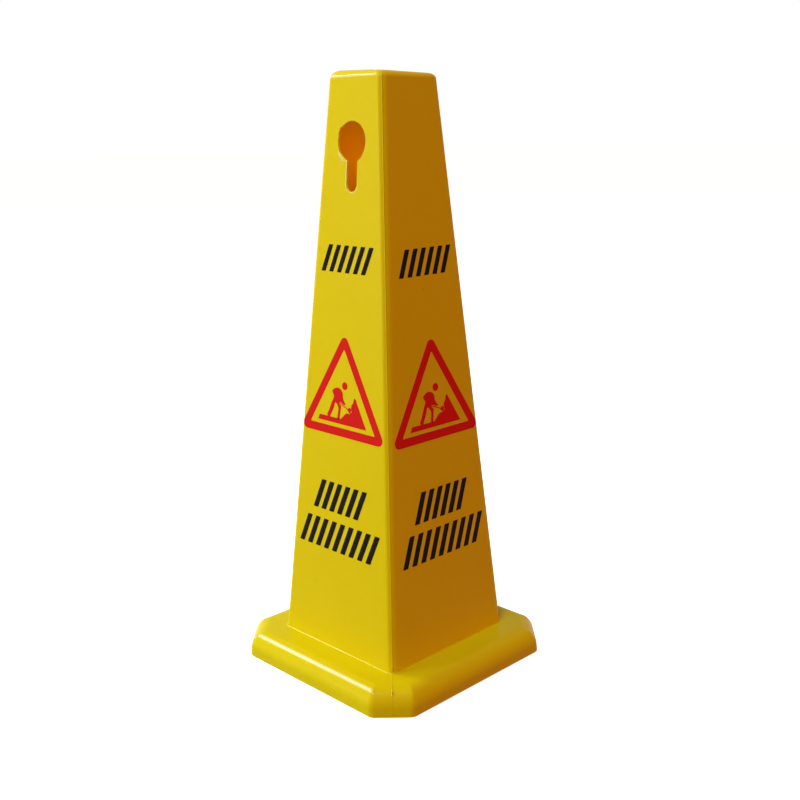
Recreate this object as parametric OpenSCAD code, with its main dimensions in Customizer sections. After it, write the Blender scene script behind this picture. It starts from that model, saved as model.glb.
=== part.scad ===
// Four-sided cone sign: a hollow tapered pyramid that stands up through a
// chamfered square base. The base drops over the pyramid onto its foot flange,
// and a ballast ring is screwed up into the base from below to clamp the flange.
// Frame: floor at z = 0, centre line on Z, the keyhole faces look along -Y and +Y.

/* [Sign] */
// Overall height, from the floor to the flat top
sign_height = 680; // [560:5:900]
// Width across the flats at the top, before its edge is rounded
top_width = 85; // [76:0.5:120]
// Radius of the four long corners of the pyramid
corner_round = 6.5; // [5:0.5:12]
// Radius of the edge that runs round the top
top_round = 8; // [5:0.5:12]
// Wall of the pyramid, square to its faces
cone_wall = 2.5; // [1.5:0.25:2.75]

/* [Foot flange] */
// How far the flange stands out from the pyramid's foot
flange_reach = 18.5; // [17.5:0.5:19.5]
// Thickness of the flange
flange_thick = 3; // [2:0.25:4]
// Radius of the flange's corners
flange_round = 24; // [22:1:30]

/* [Keyhole] */
// Diameter of the round part of the keyhole
keyhole_diameter = 44; // [30:0.5:46]
// Distance down the face from the top to the centre of the round part
keyhole_drop = 74; // [50:1:90]
// Width of the slot below the round part
slot_width = 17.5; // [8:0.5:20]
// Distance from the centre of the round part to the slot's lower end
slot_reach = 53; // [44:1:64]

/* [Base skirt] */
// Width of the base across its flats, at the rim
base_width = 280; // [250:2:330]
// Width of the deck, from the pyramid's foot out to the rim
deck_width = 46; // [45:0.5:58]
// Height of the deck above the floor
deck_height = 30.5; // [28:0.5:40]
// Leg of the chamfer across each corner of the base
corner_chamfer = 36.5; // [30:0.5:39]
// Radius of the upright edges beside each chamfer
upright_round = 17; // [10:0.5:20]
// Radius of the shoulder between the sides and the deck
shoulder_round = 20; // [12:0.5:21]
// Draft of the sides, in degrees
skirt_draft = 1; // [0:0.25:3]
// Wall of the base skirt
skirt_wall = 3; // [2:0.25:4]
// Radius of the fillet that rises from the deck to the pyramid
collar_round = 1.5; // [1:0.25:4]
// Thickness of the collar at its upper lip
collar_lip = 0.5; // [0.4:0.1:1.2]
// Height of the rim above the floor
rim_gap = 1; // [0.5:0.25:1.75]

/* [Parting line] */
// Width of the bead that the mould's parting line leaves
seam_width = 1; // [0.6:0.1:2]
// How far the bead stands proud
seam_proud = 0.5; // [0.2:0.1:0.8]

/* [Ballast ring] */
// Height of the ring's underside above the floor
ring_lift = 3; // [2:0.25:4]
// Thickness of the web between a screw's head and the boss above it
ring_web = 4; // [3:0.5:6]

/* [Screws] */
// Distance between the two screws on each side of the base
screw_spacing = 140; // [110:1:150]
// Distance from the pyramid's foot out to the line of the screws
screw_offset = 11; // [10:0.25:12]
// Radius of the screw's shank
shank_radius = 2; // [1.5:0.1:2.5]
// Distance from a screw's tip up to the underside of the deck
tip_gap = 4.5; // [2:0.25:6]
// Radius of the screw's head
head_radius = 4.5; // [4:0.1:5]
// Height of the screw's head
head_height = 3; // [2:0.25:3.5]
// Depth of the counterbore that hides the head
counterbore_depth = 7; // [5:0.25:8]
// Radius of the bosses that take the screws
boss_radius = 5; // [4.5:0.25:6]

/* [Foot pads] */
// Radius of a foot pad
pad_radius = 13; // [9:0.5:14]
// Depth of the pocket that holds a pad
pocket_depth = 3; // [2:0.25:5]
// Radius of the rounded lower edge of a pad
pad_edge = 1; // [0.5:0.25:1.5]

/* [Clearances] */
// Gap between the collar and the pyramid
collar_gap = 0.2; // [0.1:0.05:0.5]
// Gap between the ballast ring and the inside of the skirt
ring_gap = 1; // [0.5:0.1:2]
// Gap between the ring's opening and the foot of a sign stacked below
stack_gap = 1; // [0.5:0.25:3]
// Gap round a boss, a screw head or a shank in the ring
screw_gap = 0.4; // [0.2:0.05:0.8]
// Gap between a boss's lower end and the web
boss_end_gap = 0.5; // [0.3:0.1:1]
// Gap round a shank in its boss
thread_gap = 0.05; // [0.03:0.01:0.1]
// Gap round a pad in its pocket
pocket_gap = 0.15; // [0.1:0.05:0.4]

/* [Hidden] */
$fn = 48;
// Segments in each eighth turn of an outline and in each rounded edge
arc_steps = 4;
// Least radius of an outline's corner where an offset would close it
least_round = 0.8;
// How far cutters run past the faces that they cut
overcut = 1;
// How much a chamfer's leg grows for each unit that its outline is offset
leg_gain = 2 - sqrt(2);

// Heights of the seats, from the deck down to the floor
deck_under = deck_height - skirt_wall;
flange_under = deck_under - flange_thick;
web_low = ring_lift + counterbore_depth;
web_high = web_low + ring_web;
boss_end = web_high + boss_end_gap;
shank_length = deck_under - tip_gap - web_low;

// The pyramid's width where it leaves the deck, its slope, and the centre of the
// rounded edge round its top
foot_width = base_width - 2 * deck_width;
taper = (foot_width - top_width) / 2 / (sign_height - deck_height);
slope = atan(taper);
top_centre_z = sign_height - top_round;
top_centre_half = taper_half(top_centre_z) - top_round / cos(slope);

// The skirt's shoulder
base_half = base_width / 2;
shoulder_z = deck_height - shoulder_round;
shoulder_half = skirt_half(shoulder_z) - shoulder_round / cos(skirt_draft);

// The keyhole's centre, on the face and along it
keyhole_z = sign_height - keyhole_drop * cos(slope);

// Half widths of the ring's opening and of the line of the screws
ring_opening_half = foot_width / 2 + stack_gap;
ring_opening_round = corner_round + stack_gap;
screw_line = foot_width / 2 + screw_offset;
// A pad sits midway across the ring's corner, on the diagonal
ring_chamfer_diagonal = (2 * base_half - corner_chamfer) / sqrt(2) - skirt_wall - ring_gap;
opening_diagonal = ring_opening_half * sqrt(2) - ring_opening_round * (sqrt(2) - 1);
pad_place = (ring_chamfer_diagonal + opening_diagonal) / 2 / sqrt(2);

shell_yellow = [0.90, 0.78, 0.09];
ballast_grey = [0.20, 0.20, 0.21];
screw_steel = [0.72, 0.73, 0.75];
pad_black = [0.09, 0.09, 0.10];

// Half width of the pyramid's outer face at a height
function taper_half(z) = top_width / 2 + taper * (sign_height - z);

// Half width of the skirt's outer side at a height
function skirt_half(z) = base_half - tan(skirt_draft) * (z - rim_gap);

// An arc's points about a centre, from one angle to another
function arc(centre, round, from, to) =
    [for (i = [0:arc_steps])
        let (a = from + (to - from) * i / arc_steps)
        centre + round * [cos(a), sin(a)]];

// One quarter of a square outline with a rounded corner. The three middle points
// are the parting line's two feet and its crest, and the crest stands proud.
function square_quarter(half, round, proud) =
    let (centre = [half - round, half - round], foot = asin(seam_width / 2 / round))
    concat(
        arc(centre, round, 0, 45 - 2 * foot),
        [for (a = [-foot, 0, foot])
            let (reach = round + (a == 0 ? proud : 0))
            centre + reach * [cos(45 + a), sin(45 + a)]],
        arc(centre, round, 45 + 2 * foot, 90)
    );

// One quarter of a square outline whose corner is cut by a chamfer with rounded
// edges, in as many points and with the same three in the middle
function chamfered_quarter(half, leg, round, proud) =
    let (near = half - round, far = half - leg - round * tan(22.5), middle = half - leg / 2)
    concat(
        arc([near, far], round, 0, 45),
        [for (s = [-1, 0, 1])
            let (along = s * seam_width / 2 / sqrt(2), out = (s == 0 ? proud : 0) / sqrt(2))
            [middle - along + out, middle + along + out]],
        arc([far, near], round, 45, 90)
    );

// A whole outline, counter-clockwise at a height. The parting line's crest is on
// every other corner, and it can be lifted as well as proud.
function outline(plain, parted, lift, z) =
    let (crest = arc_steps + 2)
    [for (k = [0:3]) for (i = [0:len(plain) - 1])
        let (p = k % 2 == 0 ? plain[i] : parted[i])
        [
            p.x * cos(90 * k) - p.y * sin(90 * k),
            p.x * sin(90 * k) + p.y * cos(90 * k),
            z + (k % 2 == 1 && i == crest ? lift : 0)
        ]];

// A square outline; lean is the angle at which the surface there faces upwards
function square_outline(half, round, z, proud = 0, lean = 0) =
    outline(
        square_quarter(half, round, 0),
        square_quarter(half, round, proud * cos(lean)),
        proud * sin(lean),
        z
    );

// A skirt outline that has shrunk in from the rim's
function skirt_outline(half, z, proud = 0, lean = 0) =
    let (inset = base_half - half)
    let (round = max(upright_round - inset, least_round), leg = corner_chamfer - leg_gain * inset)
    outline(
        chamfered_quarter(half, leg, round, 0),
        chamfered_quarter(half, leg, round, proud * cos(lean)),
        proud * sin(lean),
        z
    );

// Outlines up the rounded edge round the pyramid's top, grown square to its faces
function top_edge_outlines(grow, proud) =
    [for (i = [0:2 * arc_steps])
        let (a = slope + (90 - slope) * i / (2 * arc_steps), edge = top_round + grow)
        square_outline(
            top_centre_half + edge * cos(a),
            corner_round + grow,
            top_centre_z + edge * sin(a),
            proud * cos(a)
        )];

// Outlines up a side and the shoulder of the skirt, grown square to its sides
function skirt_outlines(grow, low_z, proud) =
    let (edge = max(shoulder_round + grow, least_round))
    let (centre = shoulder_half + shoulder_round + grow - edge, centre_z = deck_height + grow - edge)
    concat(
        [skirt_outline(skirt_half(low_z) + grow, low_z, proud)],
        [for (i = [0:2 * arc_steps])
            let (a = skirt_draft + (90 - skirt_draft) * i / (2 * arc_steps))
            skirt_outline(centre + edge * cos(a), centre_z + edge * sin(a), proud, a)]
    );

// Outlines of the collar's hollow fillet, from the deck up to its lip
function collar_outlines() =
    [for (i = [0:arc_steps])
        let (a = 90 * i / arc_steps, z = deck_height + collar_round * (1 - cos(a)))
        let (flare = collar_gap + collar_lip + collar_round * (1 - sin(a)))
        square_outline(taper_half(z) + flare, corner_round + flare, z, seam_proud * cos(a), 90)];

// A list the other way round
function reversed(list) = [for (i = [len(list) - 1:-1:0]) list[i]];

// A closed solid through a stack of outlines that have equally many points. It is
// capped at both ends or, as a ring, runs from the last outline back to the first.
module loft(rings, ring = false) {
    count = len(rings[0]);
    last = len(rings) - 1;
    points = [for (outline_points = rings) each outline_points];
    sides = [for (r = [0:ring ? last : last - 1]) for (i = [0:count - 1])
        let (j = (i + 1) % count, low = r * count, high = ((r + 1) % (last + 1)) * count)
        each [[low + i, high + i, high + j], [low + i, high + j, low + j]]];
    caps = [[for (i = [0:count - 1]) i], [for (i = [count - 1:-1:0]) last * count + i]];
    polyhedron(points, ring ? sides : concat(caps, sides));
}

// A square with rounded corners, made of true arcs
module rounded_square(half, round) {
    square([2 * half, 2 * (half - round)], center = true);
    square([2 * (half - round), 2 * half], center = true);
    for (x = [-1, 1], y = [-1, 1])
        translate([x * (half - round), y * (half - round)]) circle(round);
}

// Places for the two screws on each side of the base
module at_screws() {
    for (k = [0:3], side = [-0.5, 0.5])
        rotate(90 * k) translate([side * screw_spacing, -screw_line, 0]) children();
}

// Places for the pads, on the base's diagonals
module at_pads() {
    for (x = [-1, 1], y = [-1, 1])
        translate([x * pad_place, y * pad_place, 0]) children();
}

// A keyhole pushed through a wall, its centre at the origin and its slot down
module keyhole_cutter() {
    depth = 2 * top_round + 2 * cone_wall;
    slot_end = slot_reach - slot_width / 2;
    rotate([90, 0, 0])
        linear_extrude(depth, center = true) {
            circle(d = keyhole_diameter);
            translate([0, -slot_end]) circle(d = slot_width);
            translate([-slot_width / 2, -slot_end]) square([slot_width, slot_end]);
        }
}

// The pyramid's wall: down the inside from the top, out under the flange, back
// along its upper face and up the outside with the parting line's crest
module cone_wall_loft() {
    crest_z = deck_height + collar_round;
    inner_low = square_outline(
        taper_half(flange_under) - cone_wall / cos(slope), corner_round - cone_wall, flange_under);
    flange = [for (z = [flange_under, deck_under])
        square_outline(foot_width / 2 + flange_reach, flange_round, z)];
    outside = [for (z = [deck_under, crest_z]) square_outline(taper_half(z), corner_round, z)];
    crest_start = square_outline(
        taper_half(crest_z + seam_width), corner_round, crest_z + seam_width, seam_proud);
    loft(concat(
        reversed(top_edge_outlines(-cone_wall, 0)),
        [inner_low],
        flange,
        outside,
        [crest_start],
        top_edge_outlines(0, seam_proud)
    ));
}

// The skirt's wall, as one ring: up the outside, over the deck and the collar,
// down the opening for the pyramid, and back along the inside to the rim
module skirt_wall_loft() {
    opening = [for (z = [deck_height + collar_round, deck_under])
        square_outline(taper_half(z) + collar_gap, corner_round + collar_gap, z)];
    loft(concat(
        skirt_outlines(0, rim_gap, seam_proud),
        collar_outlines(),
        opening,
        reversed(skirt_outlines(-skirt_wall, rim_gap, 0))
    ), ring = true);
}

// The hollow pyramid with its foot flange, its keyholes and its parting line
module cone_shell() {
    color(shell_yellow)
        difference() {
            cone_wall_loft();
            for (turn = [0, 180])
                rotate(turn)
                    translate([0, -taper_half(keyhole_z), keyhole_z])
                        rotate([-slope, 0, 0]) keyhole_cutter();
            at_screws()
                translate([0, 0, flange_under - overcut])
                    cylinder(h = flange_thick + 2 * overcut, r = boss_radius + screw_gap);
        }
}

// The hollow base with its collar, its parting line and the bosses under its deck
module base_skirt() {
    color(shell_yellow)
        difference() {
            union() {
                skirt_wall_loft();
                at_screws()
                    translate([0, 0, boss_end])
                        cylinder(h = deck_under + skirt_wall / 2 - boss_end, r = boss_radius);
            }
            at_screws()
                translate([0, 0, boss_end - overcut])
                    cylinder(h = deck_under - boss_end + overcut, r = shank_radius + thread_gap);
        }
}

// The heavy ring that fills the base and clamps the flange under the deck
module ballast_ring() {
    color(ballast_grey)
        difference() {
            loft(skirt_outlines(-skirt_wall - ring_gap, ring_lift, 0));
            translate([-base_half, -base_half, flange_under])
                cube([base_width, base_width, deck_height]);
            translate([0, 0, ring_lift - overcut])
                linear_extrude(deck_height)
                    rounded_square(ring_opening_half, ring_opening_round);
            at_screws() {
                translate([0, 0, ring_lift - overcut])
                    cylinder(h = counterbore_depth + overcut, r = head_radius + screw_gap);
                translate([0, 0, ring_lift])
                    cylinder(h = deck_height, r = shank_radius + screw_gap);
                translate([0, 0, web_high])
                    cylinder(h = deck_height, r = boss_radius + screw_gap);
            }
            at_pads()
                translate([0, 0, ring_lift - overcut])
                    cylinder(h = pocket_depth + overcut, r = pad_radius + pocket_gap);
        }
}

// Pan-head screws, driven up through the ring's web into the bosses
module ring_screws() {
    color(screw_steel)
        at_screws()
            translate([0, 0, web_low]) {
                cylinder(h = shank_length, r = shank_radius);
                translate([0, 0, -head_height]) cylinder(h = head_height, r = head_radius);
            }
}

// Soft pads pressed into the ring, which stand on the floor
module foot_pads() {
    color(pad_black)
        at_pads() {
            cylinder(h = pad_edge, r1 = pad_radius - pad_edge, r2 = pad_radius);
            translate([0, 0, pad_edge])
                cylinder(h = ring_lift + pocket_depth - pad_edge, r = pad_radius);
        }
}

cone_shell();
base_skirt();
ballast_ring();
ring_screws();
foot_pads();
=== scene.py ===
"""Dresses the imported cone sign: a moulded yellow pyramid and base with screen-printed faces.

Every piece is made in millimetres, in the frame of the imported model, and stored in metres.
"""

from __future__ import annotations

import logging
import math
from dataclasses import dataclass, field
from enum import Enum

import bmesh
import bpy
from mathutils import Matrix, Vector

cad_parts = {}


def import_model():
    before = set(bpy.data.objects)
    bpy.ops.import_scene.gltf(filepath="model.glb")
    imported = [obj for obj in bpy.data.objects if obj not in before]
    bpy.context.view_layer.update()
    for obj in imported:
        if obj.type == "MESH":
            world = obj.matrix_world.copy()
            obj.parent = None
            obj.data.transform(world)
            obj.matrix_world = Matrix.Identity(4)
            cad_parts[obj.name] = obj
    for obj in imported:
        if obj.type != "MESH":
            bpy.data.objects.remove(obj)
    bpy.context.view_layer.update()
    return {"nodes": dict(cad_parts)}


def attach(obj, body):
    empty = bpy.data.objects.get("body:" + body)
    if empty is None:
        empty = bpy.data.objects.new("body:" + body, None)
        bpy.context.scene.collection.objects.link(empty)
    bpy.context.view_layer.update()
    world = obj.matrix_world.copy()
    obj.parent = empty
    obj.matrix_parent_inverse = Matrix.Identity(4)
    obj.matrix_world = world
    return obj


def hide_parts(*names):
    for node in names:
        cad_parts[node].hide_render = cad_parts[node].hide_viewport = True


LOG = logging.getLogger("cone_sign")
MM = 0.001
ROOT = "root"
SIDE_COUNT = 4
QUARTER_TURN = math.pi / 2
FULL_TURN = 2 * math.pi
WHITE = "#FFFFFF"
# Faces that meet at a larger angle than this keep a sharp edge between them
SHARP_ANGLE = math.radians(38.0)
# How far the larger faces set the shading's normals: 50 is neutral and 100 the most
NORMAL_WEIGHT = 80
# A face looks forwards or backwards if its normal has this many times as much along Y as along X
FORWARD_SHARE = 1.3
# Points of the printed bars closer than this are one point, in metres
MERGE_DISTANCE = 1e-6

# A point on a plane, a range from its low to its high end, and three numbers of another kind
Point = tuple[float, float]
Span = tuple[float, float]
Triple = tuple[float, float, float]
# A closed ring of points, and one of a mesh's own vertices
Ring = list[Vector]
Loop = list[bmesh.types.BMVert]


class Slot(Enum):
    """The record's material slots, named for the kinds of piece here."""

    SHELL = "shell_plastic"
    SKIRT = "skirt_plastic"
    SCREW = "screw_steel"
    PAD = "pad_rubber"


class KeyholeFace(Enum):
    """The faces that have a keyhole, as quarter turns from the one that looks along -Y."""

    FRONT = 0
    BACK = 2


class FacePair(Enum):
    """Pairs of opposite faces that are printed alike, by the first face of each."""

    FRONT_BACK = 0
    SIDES = 1


def linear_colour(hex_colour: str) -> tuple[float, float, float, float]:
    """Turns an sRGB hex colour into linear RGBA.

    Args:
        hex_colour: six hex digits after a hash sign.

    Returns:
        The linear colour, opaque.
    """
    parts = [int(hex_colour[i : i + 2], 16) / 255 for i in (1, 3, 5)]
    linear = [c / 12.92 if c <= 0.04045 else ((c + 0.055) / 1.055) ** 2.4 for c in parts]
    return (linear[0], linear[1], linear[2], 1.0)


def set_inputs(
    tree: bpy.types.NodeTree, node: bpy.types.Node, inputs: dict[str | int, object]
) -> None:
    """Sets or links a node's inputs.

    Args:
        tree: the node's tree.
        node: the node.
        inputs: values or output sockets, by the name or index of the input.
    """
    for key, value in inputs.items():
        if isinstance(value, bpy.types.NodeSocket):
            tree.links.new(value, node.inputs[key])
        else:
            node.inputs[key].default_value = value


def add_node(
    tree: bpy.types.NodeTree,
    kind: str,
    inputs: dict[str | int, object] | None = None,
    **settings: object,
) -> bpy.types.Node:
    """Adds a node with its settings and links.

    Args:
        tree: the tree that takes the node.
        kind: the node's type name.
        inputs: values or output sockets, by the name or index of the input.
        settings: the node's own properties.

    Returns:
        The new node.
    """
    node = tree.nodes.new(kind)
    for name, value in settings.items():
        setattr(node, name, value)
    set_inputs(tree, node, inputs or {})
    return node


def per_metre(size_mm: float) -> float:
    """Gives the texture scale at which a pattern repeats about once in a size in mm."""
    return 1.0 / (size_mm * MM)


def new_material(
    name: str,
) -> tuple[bpy.types.Material, bpy.types.NodeTree, bpy.types.Node, bpy.types.NodeSocket]:
    """Makes a material with an empty Principled surface.

    Args:
        name: the material's name.

    Returns:
        The material, its tree, its Principled shader and the place on the object.
    """
    material = bpy.data.materials.new(name)
    material.use_nodes = True
    tree = material.node_tree
    tree.nodes.clear()
    shader = add_node(tree, "ShaderNodeBsdfPrincipled")
    add_node(tree, "ShaderNodeOutputMaterial", {"Surface": shader.outputs["BSDF"]})
    place = add_node(tree, "ShaderNodeTexCoord").outputs["Object"]
    return material, tree, shader, place


@dataclass(frozen=True)
class Clouds:
    """An uneven pattern in a surface: how wide its clouds are and how broken up."""

    size_mm: float
    detail: float
    roughness: float = 0.5

    def inputs(self, place: bpy.types.NodeSocket) -> dict[str, object]:
        """Gives what a noise texture at a place is set to.

        Args:
            place: the place on the object.

        Returns:
            The texture's inputs, by name.
        """
        return {
            "Vector": place,
            "Scale": per_metre(self.size_mm),
            "Detail": self.detail,
            "Roughness": self.roughness,
        }


@dataclass(frozen=True)
class Relief(Clouds):
    """An uneven pattern that is raised: how high, and how strongly it shades."""

    height_mm: float = 0.0
    strength: float = 1.0


def raise_relief(
    tree: bpy.types.NodeTree, place: bpy.types.NodeSocket, *layers: Relief
) -> bpy.types.NodeSocket:
    """Bumps a surface with layers of relief, each on top of the last.

    Args:
        tree: the material's tree.
        place: the place on the object.
        layers: the layers, from the deepest.

    Returns:
        The bumped normal.
    """
    normal = None
    for layer in layers:
        lumps = add_node(tree, "ShaderNodeTexNoise", layer.inputs(place))
        bump = add_node(tree, "ShaderNodeBump", {
            "Height": lumps.outputs["Fac"],
            "Strength": layer.strength,
            "Distance": layer.height_mm * MM,
        })
        if normal:
            tree.links.new(normal, bump.inputs["Normal"])
        normal = bump.outputs["Normal"]
    return normal


@dataclass(frozen=True)
class MouldedPolypropylene:
    """Pigmented polypropylene as it leaves a polished mould.

    It shows an even satin gloss, faint clouds in the pigment, a slight orange peel
    from the tool, broad sink waves across the flats and a few dark specks of dust.
    """

    name: str = "polypropylene_moulded_yellow"
    pigment: str = "#DBCC0E"
    pigment_cloud: str = "#D8C60C"
    speck: str = "#5A4510"
    roughness: float = 0.34
    roughness_spread: float = 0.05
    ior: float = 1.49
    gloss_level: float = 0.04
    scatter: float = 0.3
    scatter_mm: float = 2.5
    scatter_reach: Triple = (1.0, 0.6, 0.1)
    clouds: Clouds = Clouds(70.0, 3.0, 0.55)
    polish_range: Span = (0.3, 0.7)
    sink: Relief = Relief(90.0, 1.0, height_mm=0.03)
    peel: Relief = Relief(1.6, 2.0, height_mm=0.004)
    speck_spacing_mm: float = 26.0
    speck_radius_share: float = 0.022
    speck_core_share: float = 0.6
    speck_strength: float = 0.75

    def build(self) -> bpy.types.Material:
        """Makes the material.

        Returns:
            The finished material.
        """
        material, tree, shader, place = new_material(self.name)
        cloud = add_node(tree, "ShaderNodeTexNoise", self.clouds.inputs(place))
        pigment = add_node(tree, "ShaderNodeMix", {
            "Factor": cloud.outputs["Fac"],
            "A": linear_colour(self.pigment),
            "B": linear_colour(self.pigment_cloud),
        }, data_type="RGBA")
        specks = add_node(tree, "ShaderNodeTexVoronoi", {
            "Vector": place,
            "Scale": per_metre(self.speck_spacing_mm),
            "Randomness": 1.0,
        })
        dust = add_node(tree, "ShaderNodeMapRange", {
            "Value": specks.outputs["Distance"],
            "From Min": self.speck_radius_share * self.speck_core_share,
            "From Max": self.speck_radius_share,
            "To Min": self.speck_strength,
            "To Max": 0.0,
        })
        coloured = add_node(tree, "ShaderNodeMix", {
            "Factor": dust.outputs["Result"],
            "A": pigment.outputs["Result"],
            "B": linear_colour(self.speck),
        }, data_type="RGBA")
        polish = add_node(tree, "ShaderNodeMapRange", {
            "Value": cloud.outputs["Fac"],
            "From Min": self.polish_range[0],
            "From Max": self.polish_range[1],
            "To Min": self.roughness - self.roughness_spread,
            "To Max": self.roughness + self.roughness_spread,
        })
        set_inputs(tree, shader, {
            "Base Color": coloured.outputs["Result"],
            "Roughness": polish.outputs["Result"],
            "Normal": raise_relief(tree, place, self.sink, self.peel),
            "IOR": self.ior,
            "Specular IOR Level": self.gloss_level,
            "Subsurface Weight": self.scatter,
            "Subsurface Radius": self.scatter_reach,
            "Subsurface Scale": self.scatter_mm * MM,
        })
        return material


@dataclass(frozen=True)
class ScreenInk:
    """Solvent ink, screen-printed: a thin mottled film with the mesh's texture and a soft gloss."""

    name: str
    pigment: str
    thin_spot: str
    roughness: float = 0.46
    gloss_level: float = 0.02
    mottles: Clouds = Clouds(14.0, 4.0, 0.6)
    thin_range: Span = (0.45, 0.85)
    # A real printing mesh is too fine to show, so it is drawn as coarse as it needs to
    mesh: Relief = Relief(0.9, 1.0, height_mm=0.006)

    def build(self) -> bpy.types.Material:
        """Makes the material.

        Returns:
            The finished material.
        """
        material, tree, shader, place = new_material(self.name)
        mottle = add_node(tree, "ShaderNodeTexNoise", self.mottles.inputs(place))
        film = add_node(tree, "ShaderNodeMapRange", {
            "Value": mottle.outputs["Fac"],
            "From Min": self.thin_range[0],
            "From Max": self.thin_range[1],
        })
        colour = add_node(tree, "ShaderNodeMix", {
            "Factor": film.outputs["Result"],
            "A": linear_colour(self.pigment),
            "B": linear_colour(self.thin_spot),
        }, data_type="RGBA")
        set_inputs(tree, shader, {
            "Base Color": colour.outputs["Result"],
            "Normal": raise_relief(tree, place, self.mesh),
            "Roughness": self.roughness,
            "Specular IOR Level": self.gloss_level,
        })
        return material


@dataclass(frozen=True)
class PressedCompound:
    """Recycled rubber and plastic crumb, hot-pressed: matt, pitted and flecked."""

    name: str
    matrix: str
    crumb: str
    fleck: str
    crumb_mm: float = 5.0
    fleck_range: Span = (0.94, 0.97)
    pits: Relief = Relief(2.2, 4.0, 0.65, height_mm=0.25, strength=0.8)
    roughness: float = 0.86
    gloss_level: float = 0.3

    def build(self) -> bpy.types.Material:
        """Makes the material.

        Returns:
            The finished material.
        """
        material, tree, shader, place = new_material(self.name)
        cells = add_node(tree, "ShaderNodeTexVoronoi", {
            "Vector": place,
            "Scale": per_metre(self.crumb_mm),
            "Randomness": 1.0,
        })
        shade = add_node(tree, "ShaderNodeSeparateColor", {"Color": cells.outputs["Color"]})
        crumbs = add_node(tree, "ShaderNodeMix", {
            "Factor": shade.outputs["Red"],
            "A": linear_colour(self.matrix),
            "B": linear_colour(self.crumb),
        }, data_type="RGBA")
        rare = add_node(tree, "ShaderNodeMapRange", {
            "Value": shade.outputs["Green"],
            "From Min": self.fleck_range[0],
            "From Max": self.fleck_range[1],
        })
        colour = add_node(tree, "ShaderNodeMix", {
            "Factor": rare.outputs["Result"],
            "A": crumbs.outputs["Result"],
            "B": linear_colour(self.fleck),
        }, data_type="RGBA")
        set_inputs(tree, shader, {
            "Base Color": colour.outputs["Result"],
            "Normal": raise_relief(tree, place, self.pits),
            "Roughness": self.roughness,
            "Specular IOR Level": self.gloss_level,
        })
        return material


@dataclass(frozen=True)
class ZincPlatedSteel:
    """Bright zinc on steel: a bluish grey metal with duller stains."""

    name: str = "steel_zinc_plated"
    bright: str = "#C9CDD2"
    dull: str = "#A7ABB0"
    roughness: float = 0.32
    bright_gain: float = 0.08
    dull_loss: float = 0.12
    stains: Clouds = Clouds(3.0, 4.0)

    def build(self) -> bpy.types.Material:
        """Makes the material.

        Returns:
            The finished material.
        """
        material, tree, shader, place = new_material(self.name)
        stain = add_node(tree, "ShaderNodeTexNoise", self.stains.inputs(place))
        colour = add_node(tree, "ShaderNodeMix", {
            "Factor": stain.outputs["Fac"],
            "A": linear_colour(self.bright),
            "B": linear_colour(self.dull),
        }, data_type="RGBA")
        polish = add_node(tree, "ShaderNodeMapRange", {
            "Value": stain.outputs["Fac"],
            "To Min": self.roughness - self.bright_gain,
            "To Max": self.roughness + self.dull_loss,
        })
        set_inputs(tree, shader, {
            "Base Color": colour.outputs["Result"],
            "Roughness": polish.outputs["Result"],
            "Metallic": 1.0,
        })
        return material


YELLOW = MouldedPolypropylene()
# The base's plastic is the pyramid's made a little greener: painted light, which offsets the warm
# light that falls on its up-facing deck
LEMON_LIGHT_OFFSET = MouldedPolypropylene(
    name="polypropylene_moulded_lemon",
    pigment="#DCD20B",
    pigment_cloud="#D9CC09",
)
# Handling has rubbed the rounded edges smoother than the flats, so they take a crisp highlight.
# Their pigment is a little darker than the flats' as painted shade, which tones down the extra
# light that the rounds catch
YELLOW_RUBBED_AND_SHADED = MouldedPolypropylene(
    name="polypropylene_moulded_yellow_rubbed",
    pigment="#D5C90C",
    pigment_cloud="#D2C30A",
    roughness=0.21,
    roughness_spread=0.03,
    gloss_level=0.46,
)
RED_INK = ScreenInk("ink_screen_printed_red", "#D2201F", "#CA2519")
BLACK_INK = ScreenInk("ink_screen_printed_black", "#161313", "#1D1A18")
BALLAST = PressedCompound("compound_pressed_grey", "#2E2E30", "#3B3B3D", "#6A6357")
# The pads' rubber is denser and finer than the ring, so it looks more even and a little less matt
PAD_RUBBER = PressedCompound(
    "rubber_moulded_black",
    "#191919",
    "#202021",
    "#2A2A2B",
    crumb_mm=3.0,
    pits=Relief(1.2, 4.0, 0.65, height_mm=0.06, strength=0.8),
    roughness=0.74,
)
ZINC = ZincPlatedSteel()


def new_piece(
    name: str, shape: bmesh.types.BMesh, *materials: bpy.types.Material
) -> bpy.types.Object:
    """Makes an object from a shape in millimetres, smooth apart from its sharp edges.

    Args:
        name: the object's name.
        shape: the shape, which is freed.
        materials: the object's materials, in the order that its faces number them.

    Returns:
        The object, at the origin.
    """
    bmesh.ops.scale(shape, vec=(MM, MM, MM), verts=shape.verts)
    mesh = bpy.data.meshes.new(name)
    shape.to_mesh(mesh)
    shape.free()
    for material in materials:
        mesh.materials.append(material)
    mesh.shade_smooth()
    mesh.set_sharp_from_angle(angle=SHARP_ANGLE)
    piece = bpy.data.objects.new(name, mesh)
    bpy.context.scene.collection.objects.link(piece)
    weighted = piece.modifiers.new("weighted_normals", "WEIGHTED_NORMAL")
    weighted.keep_sharp = True
    weighted.weight = NORMAL_WEIGHT
    return piece


def fasten(piece: bpy.types.Object, slot: Slot, *nodes: str) -> None:
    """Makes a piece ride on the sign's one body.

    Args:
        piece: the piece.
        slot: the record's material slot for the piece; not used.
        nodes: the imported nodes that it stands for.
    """
    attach(piece, ROOT)
    if nodes:
        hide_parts(*nodes)
    LOG.info("%s: %d faces", piece.name, len(piece.data.polygons))


def spread(low: float, high: float, steps: int) -> list[float]:
    """Gives evenly spaced values from low to high, one more than the steps."""
    return [low + (high - low) * i / steps for i in range(steps + 1)]


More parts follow.
